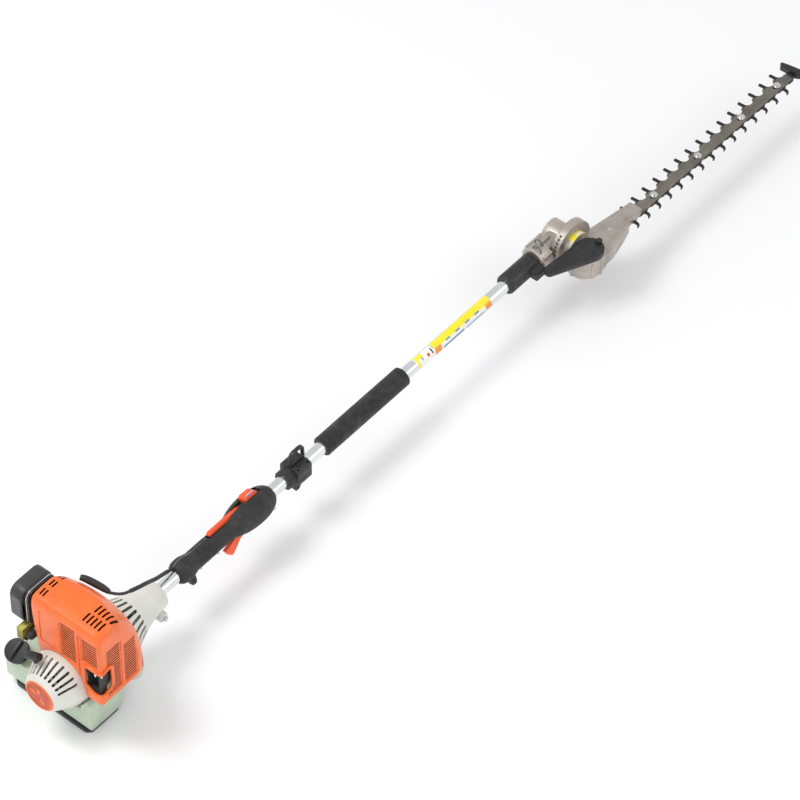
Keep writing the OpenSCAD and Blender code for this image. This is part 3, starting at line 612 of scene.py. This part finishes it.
# ------------------------------------------------------------------ handle
handle_profile = [(256, 0), (256, 14.5)] + [(x, r) for x, r in curve_points(
    [(257, 17.5), (260, 20.4), (266, 22.8), (275, 23.7), (284, 23), (294, 20.6), (304, 19), (345, 19), (388, 19.2),
     (402, 21),
     (414, 24.8), (428, 28.6), (444, 31), (462, 31.8), (480, 30.8), (494, 27.6), (503, 23.8), (509, 19.6)], 5)] + [
    (512, 16.5), (512, 0)]
shell = lathe("handle_shell", handle_profile, GRIP, count=96)
stop = prism("stop", [(-13, 0), (-11.6, -30), (-9, -37), (-5, -41), (5, -41), (9, -37), (11.6, -30), (13, 0)],
             282, 291, "x", GRIP)
bevel(stop, 2.2, 3)
cut(shell, stop, "UNION")
cut(shell, lathe("c", [(240, 0), (240, 12.75), (520, 12.75), (520, 0)], None))
cut(shell, prism("c", rounded(366, 440, -60, -13, 2), -5.2, 5.2, "y"))
cut(shell, prism("c", rounded(348, 450, 13, 40, 2), -5.2, 5.2, "y"))
cut(shell, prism("c", rounded(446, 489, 22.6, 40, 2), -10.1, 10.1, "y"))
cut(shell, lathe("c", [(250, 0), (250, 3.2), (278, 3.2), (278, 0)], None, z=15.8, count=32))
seams = [prism("c", rounded(200, 560, -60, -12, 1), -0.35, 0.35, "y"),
         prism("c", rounded(200, 347, 12, 60, 1), -0.35, 0.35, "y"),
         prism("c", rounded(487, 560, 12, 60, 1), -0.35, 0.35, "y")]
groove_depth = lathe("inner", [(238, 0), (238, 11)] + [(x, r - 0.9) for x, r in handle_profile[2:-2]]
                     + [(520, 11), (520, 0)], None)
for s in seams:
    cut(s, lathe("c", [(238, 0), (238, 12)] + [(x, r - 0.9) for x, r in handle_profile[2:-2]] + [(520, 12), (520, 0)],
                 None))
    cut(shell, s)
bpy.data.objects.remove(groove_depth)
rolled(shell)
finish_piece(shell, "frame", "handle_left", "handle_right", slot="handle_rubber", angle=40)
for k, (x, y) in enumerate(((306, 11.3), (352, 11.3), (494, 22.3))):
    head = lathe(f"handle_screw_{k}", [(0, 0), (0, 3.4), (1.6, 3.2), (2.0, 2.6), (2.0, 1.3), (0.9, 1.3), (0.9, 0)], BRIGHT,
                 count=24)
    head.data.transform(Matrix.Translation((x * MM, -y * MM, (AXIS_H - 15.5) * MM)) @ Matrix.Rotation(-math.pi / 2, 4, "Z")
                        @ Matrix.Translation((0, 0, -AXIS_H * MM)))
    rolled(head)
    finish_piece(head, "frame", slot="bright_steel")
grip_ribs = [lathe("r", [(x - 1.1, 18.6), (x - 0.6, 19.5), (x + 0.6, 19.5), (x + 1.1, 18.6), (x - 1.1, 18.6)], GRIP)
             for x in range(308, 346, 6)]
ribs = join(grip_ribs, "handle_ribs")
ribs.data.materials.append(GRIP)
rolled(ribs)
finish_piece(ribs, "frame", slot="handle_rubber", angle=50)
mark = prism("switch_mark", rounded(454, 475, 35.0, 36.45, 0.4), -9.0, -6.4, "y", PURPLE)
rolled(mark)
finish_piece(mark, "switch", slot="orange_trim")
mark2 = prism("switch_mark_light", rounded(454, 475, 35.0, 36.4, 0.4), -6.2, -4.6, "y", WHITE)
rolled(mark2)
finish_piece(mark2, "switch", slot="orange_trim")

# ------------------------------------------------------------------ throttle cable
cable_path = [(69, -10, 138.5), (79, -16, 130), (91, -19, 119), (105, -20, 108.5), (120, -19, 99.5),
              (136, -18, 91), (152, -16, 82), (168, -13, 72), (184, -10, 61.5), (199, -7, 51), (214, -3, 41),
              (229, 1, 31.5), (243, 4.5, 22.5), (256, 5.5, 16.2), (266, 5.4, 14.8), (276, 5.4, 14.8)]
cable_curve = curve_points(cable_path, 8)
finish_piece(sweep("throttle_cable_skin", cable_curve[4:], 2.85, RUBBER, 16), "frame", "throttle_cable",
             slot="black_rubber", angle=60)
loom = curve_points(cable_path[4:13], 8)
finish_piece(sweep("cable_loom", loom, [3.0] + [3.9] * (len(loom) - 2) + [3.0], RUBBER, 16), "frame",
             slot="black_rubber", angle=60)
boot_line = curve_points([(55, 36, 155.5), (60, 25, 153.5), (65.5, 8, 148.5), (70.5, -6, 142.5), (75.5, -13, 134)], 6)
boot_radii = [4.0 + 3.0 * math.sin(math.pi * min(1.0, (k + 2) / (len(boot_line) + 1))) ** 0.6
              for k in range(len(boot_line))]
finish_piece(sweep("cable_boot_skin", boot_line, boot_radii, RUBBER, 20), "frame", "cable_boot", slot="black_rubber",
             angle=60)

# ------------------------------------------------------------------ starter rope lead, laid out at a fixed pull angle
PULL = math.radians(61)
REEL_X = -75.0
ROPE_INNER, ROPE_OUTER = 47.5, 58.0


def along_pull(r):
    return (REEL_X, r * math.cos(PULL), r * math.sin(PULL))


rope = sweep("starter_rope_lead", [along_pull(ROPE_INNER + (ROPE_OUTER - ROPE_INNER) * k / 40) for k in range(41)],
             1.6, ROPE, 14)
smooth(rope, 50)
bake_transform(rope)
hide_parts("rope_lead")

# ------------------------------------------------------------------ label on the tube, generic marks without letters
def wrap(name, x0, x1, a0, a1, mat, lift=0.12):
    """A thin printed film on the tube between two angles (0 is +Y, 90 is up)."""
    steps = max(2, int(abs(a1 - a0) / 5))
    verts, faces = [], []
    for i in range(steps + 1):
        a = math.radians(a0 + (a1 - a0) * i / steps)
        for x, r in ((x0, TUBE_R + lift), (x1, TUBE_R + lift), (x1, TUBE_R + 0.01), (x0, TUBE_R + 0.01)):
            verts.append((x, r * math.cos(a), r * math.sin(a)))
    for i in range(steps):
        b = 4 * i
        for j in range(4):
            faces.append((b + j, b + (j + 1) % 4, b + 4 + (j + 1) % 4, b + 4 + j))
    faces += [(0, 1, 2, 3), tuple(4 * steps + j for j in (3, 2, 1, 0))]
    return finish_piece(new_object(name, verts, faces, mat), "frame", slot="tube_alloy")


wrap("label_white", 918, 966, 62, 190, WHITE)
wrap("label_corner_top", 920, 940, 64, 110, YELLOW, 0.2)
wrap("label_corner_end", 920, 926, 110, 186, YELLOW, 0.2)
wrap("label_disc", 948, 954, 118, 146, RED, 0.2)
wrap("label_bar", 960, 963, 96, 150, BLACK, 0.2)
wrap("label_tick", 934, 936, 104, 140, BLACK, 0.2)
wrap("label_yellow", 968, 1131, 56, 136, YELLOW)
wrap("label_band", 986, 1114, 136, 196, WHITE)
wrap("label_band_blue", 990, 1050, 168, 194, BLUE, 0.2)
wrap("label_band_blue_2", 1056, 1110, 176, 194, BLUE, 0.2)
for k in range(4):
    wrap(f"label_mark_{k}", 1000 + 28 * k, 1012 + 28 * k, 128, 142, BLUE, 0.22)
wrap("label_amber_rear", 968, 986, 120, 196, AMBER)
wrap("label_amber_front", 1114, 1131, 120, 196, AMBER)

# ------------------------------------------------------------------ foam grip with pinched ends
foam = lathe("foam_sleeve", [(656, 12.72), (656, 16.5)] + [(x, r) for x, r in curve_points(
    [(656.4, 17.6), (658, 19.1), (661, 19.8), (668, 20), (771, 20), (874, 20), (881, 19.8), (884, 19.1), (885.6, 17.6)],
    6)] + [(886, 16.5), (886, 12.72), (656, 12.72)], FOAM, count=96)
finish_piece(foam, "frame", "foam_grip", slot="foam", angle=60)

# ------------------------------------------------------------------ gearhead details
for k, (x, a, r) in enumerate(((1274, 100, 9.5), (1290, 82, 8.5))):
    loop = [(x + 0.0 * t, (27 + r * math.sin(t)) * math.cos(math.radians(a) + 0.34 * math.cos(t)),
             (27 + r * math.sin(t)) * math.sin(math.radians(a) + 0.34 * math.cos(t)))
            for t in np.linspace(-0.15, math.pi + 0.15, 22)]
    finish_piece(sweep(f"wire_loop_{k}", loop, 1.15, DARK, 10), "frame", slot="dark_steel", angle=60)
for k, a in enumerate((20, 65, 110, 155, 200)):
    bolt = lathe(f"housing_bolt_{k}", [(0, 0), (0, 3.6), (2.4, 3.6), (3.0, 3.0), (3.0, 1.6), (1.4, 1.6), (1.4, 0)], BRIGHT,
                 count=6 if k % 2 else 24)
    bolt.data.transform(Matrix.Translation(((PIVOT_X + 22 * math.cos(math.radians(a))) * MM, 25.5 * MM,
                                            (AXIS_H + 22 * math.sin(math.radians(a))) * MM))
                        @ Matrix.Rotation(math.pi / 2, 4, "Z") @ Matrix.Translation((0, 0, -AXIS_H * MM)))
    finish_piece(bolt, "frame", slot="bright_steel")
knob = lathe("lever_knob", [(0, 0), (0, 5.2), (1.5, 6.2), (5, 6.4), (7, 5.6), (8, 4), (8.3, 0)], BLACK, count=40)
knob.data.transform(Matrix.Translation((1371 * MM, -77 * MM, (AXIS_H + 20.6) * MM)) @ Matrix.Rotation(-math.pi / 2, 4, "Y")
                    @ Matrix.Translation((0, 0, -AXIS_H * MM)))
finish_piece(knob, "swivel", slot="black_plastic", angle=50)
lever_hub = prism("lever_recess", [(1348 + 12 * math.cos(t), -74 + 15 * math.sin(t)) for t in
                                   np.linspace(0, 2 * math.pi, 32, endpoint=False)], 21.0, 22.6, "z", BLACK)
bevel(lever_hub, 0.9, 3)
finish_piece(lever_hub, "swivel", slot="black_plastic")


def hub_patch(name, y0, y1, a0, a1, radius, mat):
    """A printed patch on the round hub, between two angles from straight up."""
    verts, faces = [], []
    steps = 12
    for i in range(steps + 1):
        a = math.radians(a0 + (a1 - a0) * i / steps)
        for y, r in ((y0, radius), (y1, radius), (y1, radius - 0.3), (y0, radius - 0.3)):
            verts.append((PIVOT_X + r * math.sin(a), y, r * math.cos(a)))
    for i in range(steps):
        b = 4 * i
        for j in range(4):
            faces.append((b + j, b + (j + 1) % 4, b + 4 + (j + 1) % 4, b + 4 + j))
    faces += [(0, 1, 2, 3), tuple(4 * steps + j for j in (3, 2, 1, 0))]
    return finish_piece(new_object(name, verts, faces, mat), "swivel", slot="cast_alloy")


hub_patch("gear_sticker", -44, -33, -30, 34, 32.15, YELLOW)
hub_patch("gear_sticker_light", -42, -37, -4, 28, 32.3, WHITE)

# ------------------------------------------------------------------ stiffening ribs on the arm
for k, (x0, y0, x1, y1) in enumerate(((1398, -42, 1486, -52), (1398, -82, 1486, -68))):
    rib = sweep(f"arm_rib_{k}", [(x0, y0, 1.6), (x0 + 20, y0 + (y1 - y0) * 0.25, 2.1), (x1 - 10, y1, 2.1), (x1, y1, 1.4)],
                1.6, CAST, 12)
    finish_piece(rib, "swivel", slot="cast_alloy", angle=60)

# ------------------------------------------------------------------ air filter trim
finish_piece(prism("filter_panel", rounded(91.5, 112.5, 90, 138, 5), -42.5, -41, "x", MID_GREY), "frame",
             slot="dark_grey_plastic")
band = [(a, 81.5, b) for a, b in rounded(-36.4, 34.4, 71.7, 156.4, 16.4)]
finish_piece(sweep("filter_band", band, 1.0, BRIGHT, 10, closed=True), "frame", slot="bright_steel", angle=60)

# ------------------------------------------------------------------ rounded copies of the plainer CAD nodes
for node, width in (("fuel_tank", 1.6), ("tank_stand", 1.2), ("filter_cover", 3.0), ("filter_base", 1.2),
                    ("carburettor", 1.2), ("fuel_cap", 1.4), ("choke_lever", 0.6), ("starter_grip", 1.8),
                    ("ring_clamp", 1.4), ("carrying_ring", 1.0), ("lock_sleeve", 1.2), ("gear_housing", 1.2),
                    ("swivel_housing", 1.0), ("adjusting_lever", 2.6), ("throttle_trigger", 1.2),
                    ("lockout_lever", 1.0), ("stop_switch", 1.2), ("tip_guard", 1.4), ("muffler", 1.5),
                    ("exhaust_deflector", 0.8), ("guide_bar", 0.6), ("primer_bulb", 0.5)):
    soften(node, width)

# ------------------------------------------------------------------ floor and light
floor = new_object("floor", [(-9000, -9000, 0), (12000, -9000, 0), (12000, 12000, 0), (-9000, 12000, 0)], [(0, 1, 2, 3)],
                   None, shift=False)
floor_mat = bpy.data.materials.new("floor")
floor_mat.use_nodes = True
floor_shader = floor_mat.node_tree.nodes["Principled BSDF"]
floor_shader.inputs["Base Color"].default_value = (0.93, 0.93, 0.94, 1)
floor_shader.inputs["Roughness"].default_value = 0.8
floor.data.materials.append(floor_mat)

world = bpy.data.worlds.new("studio")
world.use_nodes = True
world.node_tree.nodes["Background"].inputs["Color"].default_value = (1, 1, 1, 1)
world.node_tree.nodes["Background"].inputs["Strength"].default_value = 0.75
bpy.context.scene.world = world


def area_light(name, place, target, size, energy):
    data = bpy.data.lights.new(name, "AREA")
    data.size = size
    data.energy = energy
    obj = bpy.data.objects.new(name, data)
    bpy.context.collection.objects.link(obj)
    obj.location = place
    obj.rotation_mode = "QUATERNION"
    obj.rotation_quaternion = (Vector(target) - Vector(place)).to_track_quat("-Z", "Y")


area_light("key", (-0.8, 1.4, 3.4), (0.8, 0, 0.1), 1.4, 60)
area_light("fill", (2.8, -3.0, 2.4), (0.9, 0, 0.1), 2.4, 22)
area_light("rear", (-2.6, -1.6, 1.8), (0.0, 0, 0.1), 1.2, 16)
